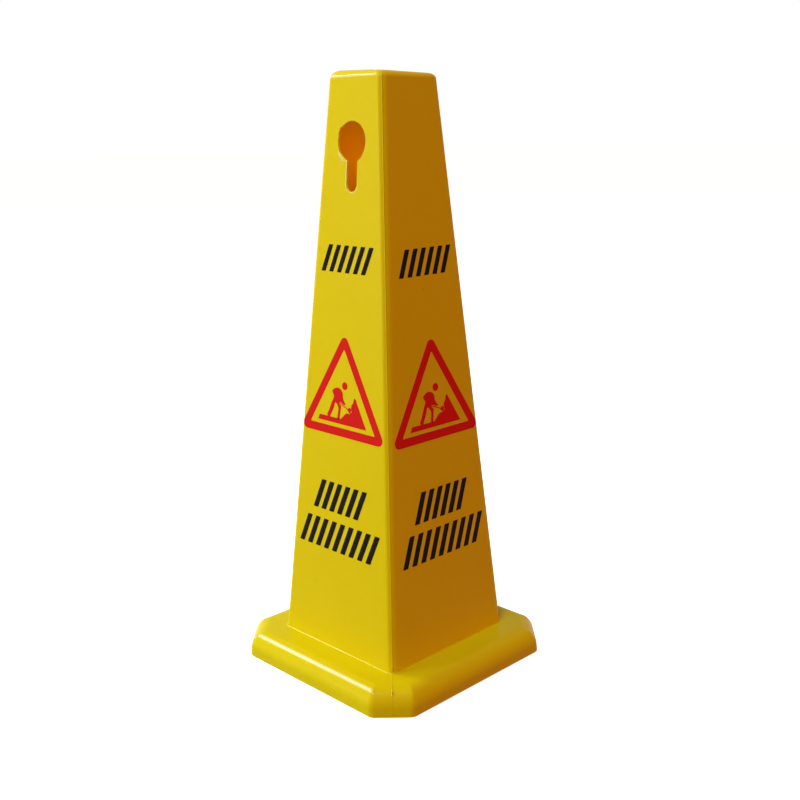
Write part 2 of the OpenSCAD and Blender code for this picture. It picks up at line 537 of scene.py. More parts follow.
def loft(
    shape: bmesh.types.BMesh,
    rings: list[Ring],
    ring_shaped: bool = False,
    left_out: frozenset[tuple[int, int]] = frozenset(),
) -> list[Loop]:
    """Spans faces through a stack of rings that have equally many points.

    Args:
        shape: the shape that takes the faces.
        rings: the rings, in order.
        ring_shaped: whether the last ring runs back to the first.
        left_out: faces not made, as pairs of ring and point.

    Returns:
        The vertices, ring by ring.
    """
    grid = [[shape.verts.new(p) for p in ring] for ring in rings]
    spans = len(grid) if ring_shaped else len(grid) - 1
    for r in range(spans):
        low = grid[r]
        high = grid[(r + 1) % len(grid)]
        for i in range(len(low)):
            j = (i + 1) % len(low)
            if (r, i) not in left_out:
                shape.faces.new((low[i], low[j], high[j], high[i]))
    return grid


def join_loops(
    shape: bmesh.types.BMesh, loops: list[Loop], rubbed_and_shaded: frozenset[int] = frozenset()
) -> None:
    """Spans quads between closed loops that follow one another.

    Args:
        shape: the shape that takes the faces.
        loops: the loops, in order.
        rubbed_and_shaded: the places along a loop whose faces take the second material, smoother
            and a little darker as painted shade.
    """
    for low, high in zip(loops, loops[1:]):
        for i in range(len(low)):
            j = (i + 1) % len(low)
            face = shape.faces.new((low[i], low[j], high[j], high[i]))
            face.material_index = int(i in rubbed_and_shaded)


def rub_and_shade_edges(shape: bmesh.types.BMesh, low_z: float, upward: Span) -> None:
    """Gives the edges that face forwards and backwards the second material, smoother and a little
    darker as painted shade.

    Args:
        shape: the shape.
        low_z: the height above which its edges take the second material.
        upward: the least and the most upward part of the normal of a face on such an edge.
    """
    least, most = upward
    for face in shape.faces:
        forwards = abs(face.normal.y) > FORWARD_SHARE * abs(face.normal.x)
        if forwards and least < face.normal.z < most and face.calc_center_median().z > low_z:
            face.material_index = 1


def rub_and_shade_nubs(shape: bmesh.types.BMesh, low_z: float, high_z: float, reach: float) -> None:
    """Gives the lumps on the parting line the second material, smoother and a little darker as
    painted shade.

    Args:
        shape: the shape.
        low_z: the height at which a lump starts.
        high_z: the height at which it ends.
        reach: how far to either side of the parting line it goes.
    """
    for face in shape.faces:
        middle = face.calc_center_median()
        if low_z < middle.z < high_z and abs(middle.x + middle.y) < reach:
            face.material_index = 1


def fan(shape: bmesh.types.BMesh, ring: Loop, tip: Vector) -> None:
    """Closes a ring with triangles that meet at a tip.

    Args:
        shape: the shape that takes the faces.
        ring: the ring's vertices.
        tip: where the triangles meet.
    """
    middle = shape.verts.new(tip)
    for i in range(len(ring)):
        shape.faces.new((ring[i], ring[(i + 1) % len(ring)], middle))


def circle(radius: float, z: float, steps: int, x: float = 0.0, y: float = 0.0) -> Ring:
    """Draws a level circle, counter-clockwise."""
    return [
        Vector((x + radius * math.cos(a), y + radius * math.sin(a), z))
        for a in spread(0.0, FULL_TURN, steps)[:-1]
    ]


def revolve(shape: bmesh.types.BMesh, profile: list[Point], steps: int) -> None:
    """Turns a profile round the upright axis.

    Args:
        shape: the shape that takes the faces.
        profile: radii and heights, the first and the last on the axis.
        steps: sides of the round.
    """
    grid = loft(shape, [circle(r, z, steps) for r, z in profile[1:-1]])
    fan(shape, grid[0], Vector((0.0, 0.0, profile[0][1])))
    fan(shape, grid[-1], Vector((0.0, 0.0, profile[-1][1])))
    bmesh.ops.recalc_face_normals(shape, faces=shape.faces)


def fill_between(shape: bmesh.types.BMesh, *loops: Loop) -> None:
    """Fills the flat region that closed loops bound.

    Args:
        shape: the shape that takes the faces.
        loops: the outer loop and the inner ones, which stay open.
    """
    edges = []
    for loop in loops:
        for a, b in zip(loop, loop[1:] + loop[:1]):
            edges.append(shape.edges.get((a, b)) or shape.edges.new((a, b)))
    bmesh.ops.triangle_fill(shape, use_beauty=True, edges=edges)


@dataclass(frozen=True)
class PartingLine:
    """The ridge that the two halves of the mould leave, on two opposite corners.

    The halves don't meet quite flush, so a shallow groove runs along one side of it.
    """

    half_width: float = 0.6
    proud: float = 0.5
    nub: float = 4.6
    nub_reach: float = 2.0
    profile: tuple[Point, ...] = (
        (-1.7, 0.0), (-0.9, 0.5), (-0.2, 1.0), (0.35, 0.5), (0.8, -0.7), (1.3, -0.5), (1.8, 0.0),
    )


@dataclass(frozen=True)
class Outline:
    """Draws the sign's outlines: one corner in plan, turned round four times."""

    seam: PartingLine = field(default_factory=PartingLine)
    arc_steps: int = 8
    flat_share: float = 0.586
    bend_share: float = 0.75

    @property
    def corner_points(self) -> int:
        """Points in one corner."""
        return 2 * (self.arc_steps + 1) + len(self.seam.profile)

    def rounded(self, half: float, radius: float, z: float, proud: float = 0.0,
                lean: float = 0.0) -> Ring:
        """Draws a square whose rounded corners are a little flat in their middle.

        Args:
            half: half its width.
            radius: the corners' radius.
            z: its height.
            proud: how far the parting line stands out.
            lean: the angle at which the surface there faces upwards.

        Returns:
            The points, counter-clockwise.
        """
        leg = self.flat_share * radius
        return self.chamfered(half, leg, self.bend_share * radius, z, proud, lean)

    def chamfered(self, half: float, leg: float, radius: float, z: float, proud: float = 0.0,
                  lean: float = 0.0) -> Ring:
        """Draws a square whose corners are chamfered, with rounded edges.

        Args:
            half: half its width.
            leg: the chamfer's leg.
            radius: the radius beside each chamfer.
            z: its height.
            proud: how far the parting line stands out.
            lean: the angle at which the surface there faces upwards.

        Returns:
            The points, counter-clockwise, as many as a rounded square has.
        """
        near = half - radius
        far = half - leg - radius * math.tan(QUARTER_TURN / 4)
        middle = half - leg / 2
        eighth = QUARTER_TURN / 2

        def bend(cx: float, cy: float, start: float) -> list[Triple]:
            """Draws the round beside the chamfer."""
            return [
                (cx + radius * math.cos(a), cy + radius * math.sin(a), 0.0)
                for a in spread(start, start + eighth, self.arc_steps)
            ]

        def across(height: float) -> list[Triple]:
            """Draws the parting line across the chamfer's middle.

            Args:
                height: how far it stands out.

            Returns:
                The points, each with its lift.
            """
            points = []
            for s, share in self.seam.profile:
                along = s * self.seam.half_width / math.sqrt(2)
                out = share * height * math.cos(lean) / math.sqrt(2)
                lift = share * height * math.sin(lean)
                points.append((middle - along + out, middle + along + out, lift))
            return points

        return self._turned(
            bend(near, far, 0.0), across(proud), across(0.0), bend(far, near, eighth), z
        )

    @staticmethod
    def _turned(
        rise: list[Triple], ridge: list[Triple], plain: list[Triple], fall: list[Triple], z: float
    ) -> Ring:
        """Turns one corner round four times.

        Args:
            rise: the corner's first round.
            ridge: its middle, with the parting line.
            plain: its middle without, which every other corner has.
            fall: its second round.
            z: the outline's height.

        Returns:
            The points, counter-clockwise.
        """
        ring = []
        for k in range(SIDE_COUNT):
            turn = Matrix.Rotation(k * QUARTER_TURN, 3, "Z")
            for x, y, lift in rise + (ridge if k % 2 else plain) + fall:
                ring.append(turn @ Vector((x, y, z + lift)))
        return ring


@dataclass(frozen=True)
class Keyhole:
    """A round hole with a slot below it, cut through a face."""

    diameter: float = 42.8
    drop: float = 73.2
    slot_width: float = 15.7
    slot_reach: float = 52.8
    slot_shift: float = 1.8
    shift_start: float = 0.5
    shift_span: float = 0.4
    throat_round: float = 1.4
    least_throat: float = 0.05
    chip: float = 3.0
    chip_angle: float = math.radians(147.0)
    chip_spread: float = math.radians(12.0)
    chip_teeth: float = 37.0
    chip_share: float = 0.6
    wear: float = 3.0
    wear_angle: float = math.radians(226.0)
    wear_spread: float = math.radians(13.0)
    rub_and_shade_drop: float = 6.0
    round_steps: int = 56
    slot_steps: int = 20
    throat_steps: int = 4
    rim: tuple[Point, ...] = (
        (2.1, 0.0), (1.6, 0.12), (1.2, 0.16), (0.8, 0.10), (0.45, -0.08),
        (0.2, -0.34), (0.05, -0.7), (0.0, -1.1), (0.0, -2.2), (0.3, -2.5),
    )

    def outline(self, grow: float) -> list[Point]:
        """Draws the hole about its round part's centre, counter-clockwise.

        Args:
            grow: how far outside the cut the outline lies.

        Returns:
            The points, as across and up along the face.
        """
        big = self.diameter / 2 + grow
        side = self.slot_width / 2 + grow
        small = self.throat_round - grow if grow < self.throat_round else self.least_throat
        cx = side + small
        cy = -math.sqrt((big + small) ** 2 - cx**2)
        turn = math.atan2(cy, cx)
        points = [
            (cx + small * math.cos(a), cy + small * math.sin(a))
            for a in spread(math.pi, math.pi + turn, self.throat_steps)[:-1]
        ]
        for a in spread(turn, math.pi - turn, self.round_steps):
            reach = big + grow * self._worn(a) + self._chipped(a)
            points.append((reach * math.cos(a), reach * math.sin(a)))
        points += [(-x, y) for x, y in reversed(points[: self.throat_steps])]
        low = self.slot_width / 2 - self.slot_reach
        points += [
            (side * math.cos(a), low + side * math.sin(a))
            for a in spread(math.pi, FULL_TURN, self.slot_steps)
        ]
        return [(x + self._shifted(y), y) for x, y in points]

    def _shifted(self, up: float) -> float:
        """How far to the right of the round part's middle the hole lies at a height."""
        share = min(max(-2 * up / self.diameter - self.shift_start, 0.0) / self.shift_span, 1.0)
        return self.slot_shift * share * share * (3 - 2 * share)

    def _worn(self, angle: float) -> float:
        """How much wider the rim's round is at an angle, where a hook has worn it."""
        return self.wear * math.exp(-(((angle - self.wear_angle) / self.wear_spread) ** 2))

    def _chipped(self, angle: float) -> float:
        """Breaks away the ragged upper left of the rim.

        Args:
            angle: the angle about the round part's centre.

        Returns:
            How much further out the rim lies there.
        """
        near = math.exp(-(((angle - self.chip_angle) / self.chip_spread) ** 2))
        ragged = self.chip_share + self.chip_share * math.sin(self.chip_teeth * angle)
        return self.chip * near * ragged

    def rubbed_and_shaded(self) -> frozenset[int]:
        """Finds the part of the rim that a hook slides over as it drops into the slot, which takes
        the smoother plastic with its painted shade.
        """
        return frozenset(
            i
            for i, (across, up) in enumerate(self.outline(0.0))
            if (across < 0.0 and up < -self.rub_and_shade_drop) or up < self.rub_and_shade_drop - self.slot_reach
        )


@dataclass
class Pyramid:
    """The hollow pyramid: its wall, its foot flange and its keyholes."""

    height: float = 680.0
    foot_width: float = 188.0
    foot_z: float = 30.5
    top_width: float = 85.0
    corner_round: float = 9.5
    face_swell: float = 0.5
    top_round: float = 8.0
    top_crown: float = 0.8
    top_lean: float = 0.03
    wall: float = 2.5
    inner_foot_round: float = 8.0
    flange_reach: float = 18.5
    flange_low: float = 24.5
    flange_high: float = 27.5
    flange_round: float = 24.0
    hole_radius: float = 5.4
    hole_spacing: float = 140.0
    hole_line: float = 105.0
    crest_z: float = 32.0
    nub_rises: Triple = (1.2, 3.4, 5.4)
    # The top edge's faces in this range of upward normal take the smoother plastic, darker as
    # painted shade
    rub_and_shade_upward: Span = (0.2, 0.5)
    crown_shares: tuple[float, ...] = (0.75, 0.5, 0.25)
    top_steps: int = 10
    hole_steps: int = 24
    outline: Outline = field(default_factory=Outline)
    keyhole: Keyhole = field(default_factory=Keyhole)

    @property
    def taper(self) -> float:
        """How much half the width grows for each millimetre down."""
        return (self.foot_width - self.top_width) / 2 / (self.height - self.foot_z)

    @property
    def slope(self) -> float:
        """The faces' lean from the upright, in radians."""
        return math.atan(self.taper)

    def half(self, z: float) -> float:
        """Half the width across the flats at a height."""
        return self.top_width / 2 + self.face_swell + self.taper * (self.height - z)

    def on_face(self, across: float, z: float, lift: float = 0.0) -> Vector:
        """Gives a point on the face that looks along -Y.

        Args:
            across: distance from the face's middle line.
            z: height.
            lift: distance out from the face.

        Returns:
            The point, in millimetres.
        """
        return Vector((
            across,
            -self.half(z) - lift * math.cos(self.slope),
            z + lift * math.sin(self.slope),
        ))

    def _top_rings(self, grow: float, proud: float) -> list[Ring]:
        """Draws the rings up the rounded edge and over the top.

        Args:
            grow: how far outside the pyramid's outer side they lie.
            proud: how far the parting line stands out.

        Returns:
            The rings, from the lowest.
        """
        edge = self.top_round + grow
        centre_z = self.height - self.top_round
        centre = self.half(centre_z) - self.top_round / math.cos(self.slope)
        rings = []
        for k, a in enumerate(spread(self.slope, QUARTER_TURN, self.top_steps)):
            half = centre + edge * math.cos(a)
            z = centre_z + edge * math.sin(a)
            ring = self.outline.rounded(half, self.corner_round + grow, z, proud * math.cos(a))
            lean = self.top_lean * k / self.top_steps
            rings.append([Vector((p.x, p.y, p.z - lean * (p.x + p.y))) for p in ring])
        flat = rings[-1]
        for share in self.crown_shares:
            crown = self.top_crown * (1 - share**2)
            rings.append([Vector((p.x * share, p.y * share, p.z + crown)) for p in flat])
        return rings

    def _boss_holes(self, shape: bmesh.types.BMesh, z: float) -> list[Loop]:
        """Draws the holes in the flange that the base's bosses pass through.

        Args:
            shape: the shape that takes the vertices.
            z: their height.

        Returns:
            The holes' vertices, hole by hole.
        """
        holes = []
        for k in range(SIDE_COUNT):
            turn = Matrix.Rotation(k * QUARTER_TURN, 3, "Z")
            for side in (-0.5, 0.5):
                x = side * self.hole_spacing
                ring = circle(self.hole_radius, z, self.hole_steps, x, -self.hole_line)
                holes.append([shape.verts.new(turn @ p) for p in ring])
        return holes

    def _keyhole_point(
        self, across: float, up: float, out: float, face: KeyholeFace
    ) -> Vector:
        """Gives a point about a keyhole's centre.

        Args:
            across: distance to the right.
            up: distance up along the face.
            out: distance out from the face.
            face: the keyhole's face.

        Returns:
            The point, in millimetres.
        """
        z = self.height - self.keyhole.drop * math.cos(self.slope)
        centre = self.on_face(0.0, z)
        sine = math.sin(self.slope)
        cosine = math.cos(self.slope)
        point = centre + Vector((across, up * sine - out * cosine, up * cosine + out * sine))
        return Matrix.Rotation(face.value * QUARTER_TURN, 3, "Z") @ point

    def _cut_keyhole(
        self, shape: bmesh.types.BMesh, face: KeyholeFace, outer: Loop, inner: Loop
    ) -> None:
        """Cuts a keyhole through the wall, with a rounded rim.

        Args:
            shape: the shape that takes the faces.
            face: the keyhole's face.
            outer: the border of the face's outer side.
            inner: the border of its inner side.
        """
        loops = [
            [
                shape.verts.new(self._keyhole_point(u, v, out, face))
                for u, v in self.keyhole.outline(grow)
            ]
            for grow, out in self.keyhole.rim
        ]
        join_loops(shape, loops, self.keyhole.rubbed_and_shaded())
        fill_between(shape, outer, loops[0])
        fill_between(shape, inner, loops[-1])

    def build(
        self, plastic: bpy.types.Material, rubbed_and_shaded: bpy.types.Material
    ) -> bpy.types.Object:
        """Builds the pyramid as one closed wall.

        Args:
            plastic: its plastic.
            rubbed_and_shaded: the plastic of its rounded edges, a little darker as painted shade.

        Returns:
            The piece.
        """
        shape = bmesh.new()
        seam = self.outline.seam
        nub = seam.proud * seam.nub
        nub_low, nub_high, nub_end = (self.crest_z + rise for rise in self.nub_rises)
        inner_top = self._top_rings(-self.wall, 0.0)
        inner_low = self.outline.rounded(
            self.half(self.flange_low) - self.wall / math.cos(self.slope),
            self.inner_foot_round,
            self.flange_low,
        )
        flange = [
            self.outline.rounded(self.foot_width / 2 + self.flange_reach, self.flange_round, z)
            for z in (self.flange_low, self.flange_high)
        ]
        outside = [
            self.outline.rounded(self.half(z), self.corner_round, z, ridge)
            for z, ridge in (
                (self.flange_high, 0.0),
                (self.crest_z, 0.0),
                (nub_low, nub),
                (nub_high, nub),
                (nub_end, seam.proud),
            )
        ]
        outer_top = self._top_rings(0.0, seam.proud)
        rings = inner_top[::-1] + [inner_low] + flange + outside + outer_top
        inner_span = len(inner_top) - 1
        under = len(inner_top)
        upper = under + len(flange)
        outer_span = upper + len(outside)
        corner = self.outline.corner_points
        columns = {KeyholeFace.BACK: corner - 1, KeyholeFace.FRONT: 3 * corner - 1}
        gaps = {(r, c) for r in (inner_span, outer_span) for c in columns.values()}
        gaps |= {(r, c) for r in (under, upper) for c in range(SIDE_COUNT * corner)}
        grid = loft(shape, rings, left_out=frozenset(gaps))
        fan(shape, grid[0], Vector((0.0, 0.0, self.height - self.wall + self.top_crown)))
        fan(shape, grid[-1], Vector((0.0, 0.0, self.height + self.top_crown)))
        low_holes = self._boss_holes(shape, self.flange_low)
        high_holes = self._boss_holes(shape, self.flange_high)
        for low, high in zip(low_holes, high_holes):
            join_loops(shape, [low, high])
        fill_between(shape, grid[under], grid[under + 1], *low_holes)
        fill_between(shape, grid[upper], grid[upper + 1], *high_holes)
        for face, c in columns.items():
            borders = [
                [grid[r][c], grid[r][c + 1], grid[r + 1][c + 1], grid[r + 1][c]]
                for r in (outer_span, inner_span)
            ]
            self._cut_keyhole(shape, face, *borders)
        bmesh.ops.recalc_face_normals(shape, faces=shape.faces)
        rub_and_shade_edges(shape, self.height - self.top_round, self.rub_and_shade_upward)
        rub_and_shade_nubs(shape, self.crest_z, nub_end, seam.nub_reach)
        return new_piece("pyramid_shell", shape, plastic, rubbed_and_shaded)


@dataclass
class Base:
    """The hollow base: its chamfered sides, its deck and the collar round the pyramid."""

    width: float = 280.0
    deck_z: float = 30.5
    chamfer: float = 36.5
    upright_round: float = 12.0
    shoulder_round: float = 20.0
    draft: float = math.radians(1.0)
    wall: float = 3.0
    rim_z: float = 1.0
    rim_round: float = 1.2
    collar_round: float = 1.5
    collar_lip: float = 0.35
    collar_gap: float = 0.2
    least_round: float = 0.8
    shoulder_steps: int = 24
    collar_steps: int = 6
    corner_flare: float = 3.2
    seam_share: float = 0.4
    nub_proud: float = 1.5
    nub_lean: float = math.radians(50.0)
    nub_spread: float = math.radians(5.0)
    nub_half: float = 1.6
    # The shoulder's faces in this range of upward normal take the smoother plastic, darker as
    # painted shade
    rub_and_shade_upward: Span = (0.74, 0.9)
    deck_shares: tuple[float, ...] = (0.05, 0.1, 0.5, 0.9, 0.95)
    rim_steps: int = 4
    outline: Outline = field(default_factory=Outline)

    def side(self, z: float) -> float:
        """Half the width of the outer side at a height."""
        return self.width / 2 - math.tan(self.draft) * (z - self.rim_z)

    def _skirt(self, half: float, z: float, proud: float = 0.0, lean: float = 0.0) -> Ring:
        """Draws an outline that has shrunk in from the rim's.

        Args:
            half: half its width.
            z: its height.
            proud: how far the parting line stands out.
            lean: the angle at which the surface there faces upwards.

        Returns:
            The points, counter-clockwise.
        """
        inset = self.width / 2 - half
        flare = self.corner_flare * max(1 - z / self.deck_z, 0.0)
        return self.outline.chamfered(
            half,
            self.chamfer - (2 - math.sqrt(2)) * inset - flare,
            max(self.upright_round - inset, self.least_round),
            z,
            proud,
            lean,
        )

    def _side_rings(self, grow: float, low_z: float, proud: float) -> list[Ring]:
        """Draws the rings up a side and its shoulder.

        Args:
            grow: how far outside the base's outer side they lie.
            low_z: the height of the lowest.
            proud: how far the parting line stands out.

        Returns:
            The rings, from the lowest.
        """
        edge = max(self.shoulder_round + grow, self.least_round)
        shoulder_z = self.deck_z - self.shoulder_round
        centre = self.side(shoulder_z) - self.shoulder_round / math.cos(self.draft)
        centre += self.shoulder_round + grow - edge
        centre_z = self.deck_z + grow - edge
        rings = [self._skirt(self.side(low_z) + grow, low_z, proud)]
        for a in spread(self.draft, QUARTER_TURN, self.shoulder_steps):
            swell = math.exp(-(((a - self.nub_lean) / self.nub_spread) ** 2))
            ridge = proud + (self.nub_proud - proud) * swell if proud else 0.0
            rings.append(self._skirt(
                centre + edge * math.cos(a), centre_z + edge * math.sin(a), ridge, a
            ))
        return rings

    def _rim_rings(self) -> list[Ring]:
        """Draws the rings round the rim's rounded lower edge.

        Returns:
            The rings, from the lowest.
        """
        rings = []
        for a in spread(0.0, QUARTER_TURN, self.rim_steps)[:-1]:
            z = self.rim_z + self.rim_round * (1 - math.cos(a))
            half = self.side(z) - self.rim_round * (1 - math.sin(a))
            rings.append(self._skirt(half, z))
        return rings

    def _collar_rings(self, pyramid: Pyramid, proud: float) -> list[Ring]:
        """Draws the rings of the collar's hollow fillet, up to its lip.

        Args:
            pyramid: the pyramid that the collar goes round.
            proud: how far the parting line stands out.

        Returns:
            The rings, from the lowest.
        """
        rings = []
        for a in spread(0.0, QUARTER_TURN, self.collar_steps):
            z = self.deck_z + self.collar_round * (1 - math.cos(a))
            flare = self.collar_gap + self.collar_lip + self.collar_round * (1 - math.sin(a))
            rings.append(self.outline.rounded(
                pyramid.half(z) + flare,
                pyramid.corner_round + flare,
                z,
                proud * math.cos(a),
                QUARTER_TURN,
            ))
        return rings

    def build(
        self, pyramid: Pyramid, plastic: bpy.types.Material, rubbed_and_shaded: bpy.types.Material
    ) -> bpy.types.Object:
        """Builds the base as one closed wall round the pyramid's foot.

        Args:
            pyramid: the pyramid that comes up through it.
            plastic: its plastic.
            rubbed_and_shaded: the plastic of its rounded edges, a little darker as painted shade.

        Returns:
            The piece.
        """
        shape = bmesh.new()
        proud = self.outline.seam.proud * self.seam_share
        outside = self._rim_rings() + self._side_rings(0.0, self.rim_z + self.rim_round, proud)
        collar = self._collar_rings(pyramid, proud)
        deck = [
            [a.lerp(b, share) for a, b in zip(outside[-1], collar[0])]
            for share in self.deck_shares
        ]
        under_z = self.deck_z - self.wall
        opening = [
            self.outline.rounded(
                pyramid.half(z) + self.collar_gap, pyramid.corner_round + self.collar_gap, z
            )
            for z in (self.deck_z + self.collar_round, under_z)
        ]
        inside = self._side_rings(-self.wall, self.rim_z, 0.0)[::-1]
        loft(shape, outside + deck + collar + opening + inside, ring_shaped=True)
        bmesh.ops.recalc_face_normals(shape, faces=shape.faces)
        rub_and_shade_edges(shape, self.deck_z - self.shoulder_round, self.rub_and_shade_upward)
        nub_z = self.deck_z - self.shoulder_round * (1 - math.sin(self.nub_lean))
        seam = self.outline.seam
        rub_and_shade_nubs(shape, nub_z - self.nub_half, nub_z + self.nub_half, seam.nub_reach)
        return new_piece("base_skirt_shell", shape, plastic, rubbed_and_shaded)


def smooth_loop(points: list[Point] | tuple[Point, ...], steps: int = 4) -> list[Point]:
    """Runs a closed curve through points, as a Catmull-Rom spline.

    Args:
        points: the points, in order.
        steps: points of the curve for each of them.

    Returns:
        The curve's points.
    """
    curve = []
    count = len(points)
    for i in range(count):
        before, here, there, after = (points[(i + k) % count] for k in (-1, 0, 1, 2))
        for t in spread(0.0, 1.0, steps)[:-1]:
            curve.append(tuple(
                0.5 * (
                    2 * b + (c - a) * t
                    + (2 * a - 5 * b + 4 * c - d) * t**2
                    + (3 * b - a - 3 * c + d) * t**3
                )
                for a, b, c, d in zip(before, here, there, after)
            ))
    return curve


def round_corners(corners: list[Point], radius: float, steps: int) -> list[Point]:
    """Rounds the corners of a convex polygon.

    Args:
        corners: its corners, counter-clockwise.
        radius: the corners' radius.
        steps: segments in each corner.

    Returns:
        The rounded polygon's points.
    """
    points = []
    count = len(corners)
    for i in range(count):
        here = Vector(corners[i])
        back = (Vector(corners[i - 1]) - here).normalized()
        ahead = (Vector(corners[(i + 1) % count]) - here).normalized()
        half_angle = back.angle(ahead) / 2
        centre = here + (back + ahead).normalized() * (radius / math.sin(half_angle))
        first = Vector((-back.y, back.x))
        last = Vector((ahead.y, -ahead.x))
        start = math.atan2(first.y, first.x)
        turn = (math.atan2(last.y, last.x) - start) % FULL_TURN
        for a in spread(start, start + turn, steps):
            points.append((centre.x + radius * math.cos(a), centre.y + radius * math.sin(a)))
    return points


class Socket(Enum):
    """Kinds of input that the geometry trees take."""

    LENGTH = "NodeSocketFloat"
    COUNT = "NodeSocketInt"
    VECTOR = "NodeSocketVector"
    PART = "NodeSocketObject"
    SHAPE = "NodeSocketGeometry"
    FINISH = "NodeSocketMaterial"


TURN_INPUTS = {"Sides": Socket.COUNT, "First turn": Socket.LENGTH, "Turn": Socket.LENGTH}
ALL_SIDES = {"Sides": SIDE_COUNT, "First turn": 0.0, "Turn": QUARTER_TURN}


def new_tree(
    name: str, inputs: dict[str, Socket]
) -> tuple[bpy.types.NodeTree, bpy.types.NodeOutputs]:
    """Starts a geometry tree.

    Args:
        name: the tree's name.
        inputs: its inputs, by name.

    Returns:
        The tree and the sockets that give its inputs.
    """
    tree = bpy.data.node_groups.new(name, "GeometryNodeTree")
    for label, kind in inputs.items():
        tree.interface.new_socket(name=label, in_out="INPUT", socket_type=kind.value)
    tree.interface.new_socket(name="Mesh", in_out="OUTPUT", socket_type=Socket.SHAPE.value)
    return tree, add_node(tree, "NodeGroupInput").outputs


def end_tree(
    tree: bpy.types.NodeTree, shape: bpy.types.NodeSocket, finish: bpy.types.NodeSocket
) -> None:
    """Ends a geometry tree: real meshes, with a material.

    Args:
        tree: the tree.
        shape: what it makes.
        finish: the material's socket.
    """
    real = add_node(tree, "GeometryNodeRealizeInstances", {"Geometry": shape})
    dressed = add_node(
        tree, "GeometryNodeSetMaterial", {"Geometry": real.outputs[0], "Material": finish}
    )
    add_node(tree, "NodeGroupOutput", {0: dressed.outputs[0]})


